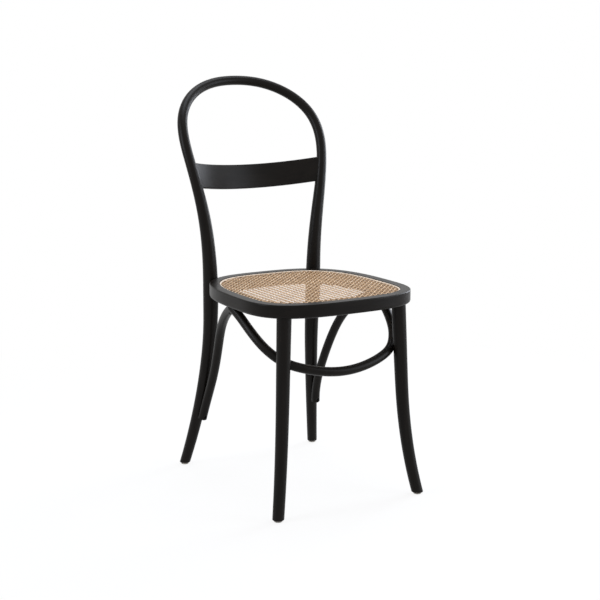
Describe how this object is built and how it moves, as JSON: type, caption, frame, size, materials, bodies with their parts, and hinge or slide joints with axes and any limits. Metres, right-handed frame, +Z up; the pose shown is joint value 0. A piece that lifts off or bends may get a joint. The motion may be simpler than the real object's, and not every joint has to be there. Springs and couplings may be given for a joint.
{
  "type": "bentwood bistro chair",
  "caption": "Side chair of bent black-stained round rods with a hoop back, bowed back slat, woven cane seat in a bent ring, and a bow and braces under the seat.",
  "frame": {"origin": "on the floor under the middle of the chair's bounding box", "axes": "+Z up; the chair faces -Y, so the hoop back is towards +Y; +X is to the right of someone who looks at the chair's front"},
  "size_m": [0.4, 0.5511, 0.912],
  "materials": {
    "black_wood": "satin black lacquer over steam-bent beech, with a little grain showing",
    "cane": "natural woven cane, six-way open pattern",
    "reed": "natural reed spline",
    "steel": "dark oiled steel",
    "glide_plastic": "pale moulded plastic"
  },
  "bodies": {
    "root": {"back_frame": "black_wood", "back_slat": "black_wood", "seat_frame": "black_wood", "front_leg_left": "black_wood", "front_leg_right": "black_wood", "front_bow": "black_wood", "rear_brace_left": "black_wood", "rear_brace_right": "black_wood", "cane_panel": "cane", "cane_spline": "reed", "back_bolts": "steel", "back_bolt_washers": "steel", "back_bolt_nuts": "steel", "bow_seat_screws": "steel", "bow_leg_screws": "steel", "brace_seat_screws": "steel", "brace_leg_screws": "steel", "leg_lock_screws": "steel", "slat_pins": "steel", "glide_nails": "steel", "foot_glide_front_left": "glide_plastic", "foot_glide_front_right": "glide_plastic", "foot_glide_rear_left": "glide_plastic", "foot_glide_rear_right": "glide_plastic"}
  },
  "joints": []
}
